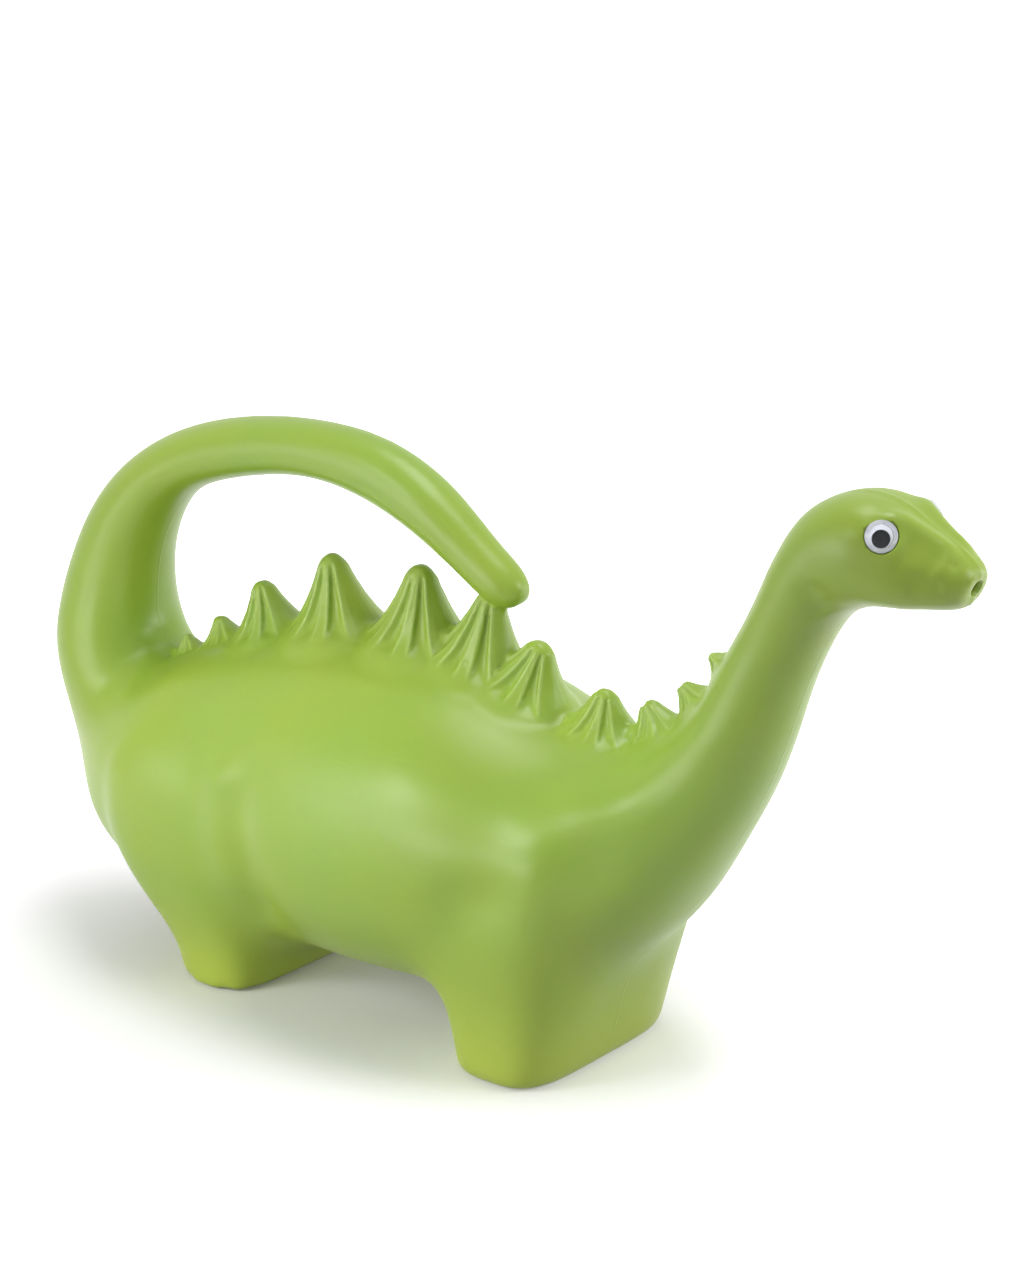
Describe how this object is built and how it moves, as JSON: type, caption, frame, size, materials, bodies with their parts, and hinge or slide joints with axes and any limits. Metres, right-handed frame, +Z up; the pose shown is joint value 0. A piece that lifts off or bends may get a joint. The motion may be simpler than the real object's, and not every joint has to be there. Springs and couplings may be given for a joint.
{
  "type": "watering can",
  "caption": "Hollow blow-moulded watering can shaped as a long-necked dinosaur: looped tail handle, neck spout, fluted back spikes, block feet and wobbly eyes.",
  "frame": {"origin": "middle of the can's length and width, on the floor under its feet", "axes": "+X towards the snout, +Y to the animal's left, +Z up; Y = 0 is the mould's parting plane"},
  "size_m": [0.3808, 0.1164, 0.2173],
  "materials": {
    "green_shell": "satin moulded skin, lime green, self-coloured",
    "eye_white": "plain white",
    "pupil_black": "smooth black",
    "clear_dome": "clear, polished",
    "glue": "milky hot-melt glue"
  },
  "bodies": {
    "can": {"body_shell": "green_shell", "eye_glue_right": "glue", "eye_back_right": "eye_white", "eye_dome_right": "clear_dome", "eye_glue_left": "glue", "eye_back_left": "eye_white", "eye_dome_left": "clear_dome"},
    "right_pupil": {"pupil_right": "pupil_black"},
    "left_pupil": {"pupil_left": "pupil_black"}
  },
  "joints": [
    {"name": "right_pupil_roll", "type": "hinge", "parent": "can", "child": "right_pupil", "pos_m": [0.16456, -0.01464, 0.20869], "axis": [0.4082, -0.8754, 0.2588], "continuous": true},
    {"name": "left_pupil_roll", "type": "hinge", "parent": "can", "child": "left_pupil", "pos_m": [0.16456, 0.01464, 0.20869], "axis": [0.4082, 0.8754, 0.2588], "continuous": true}
  ]
}
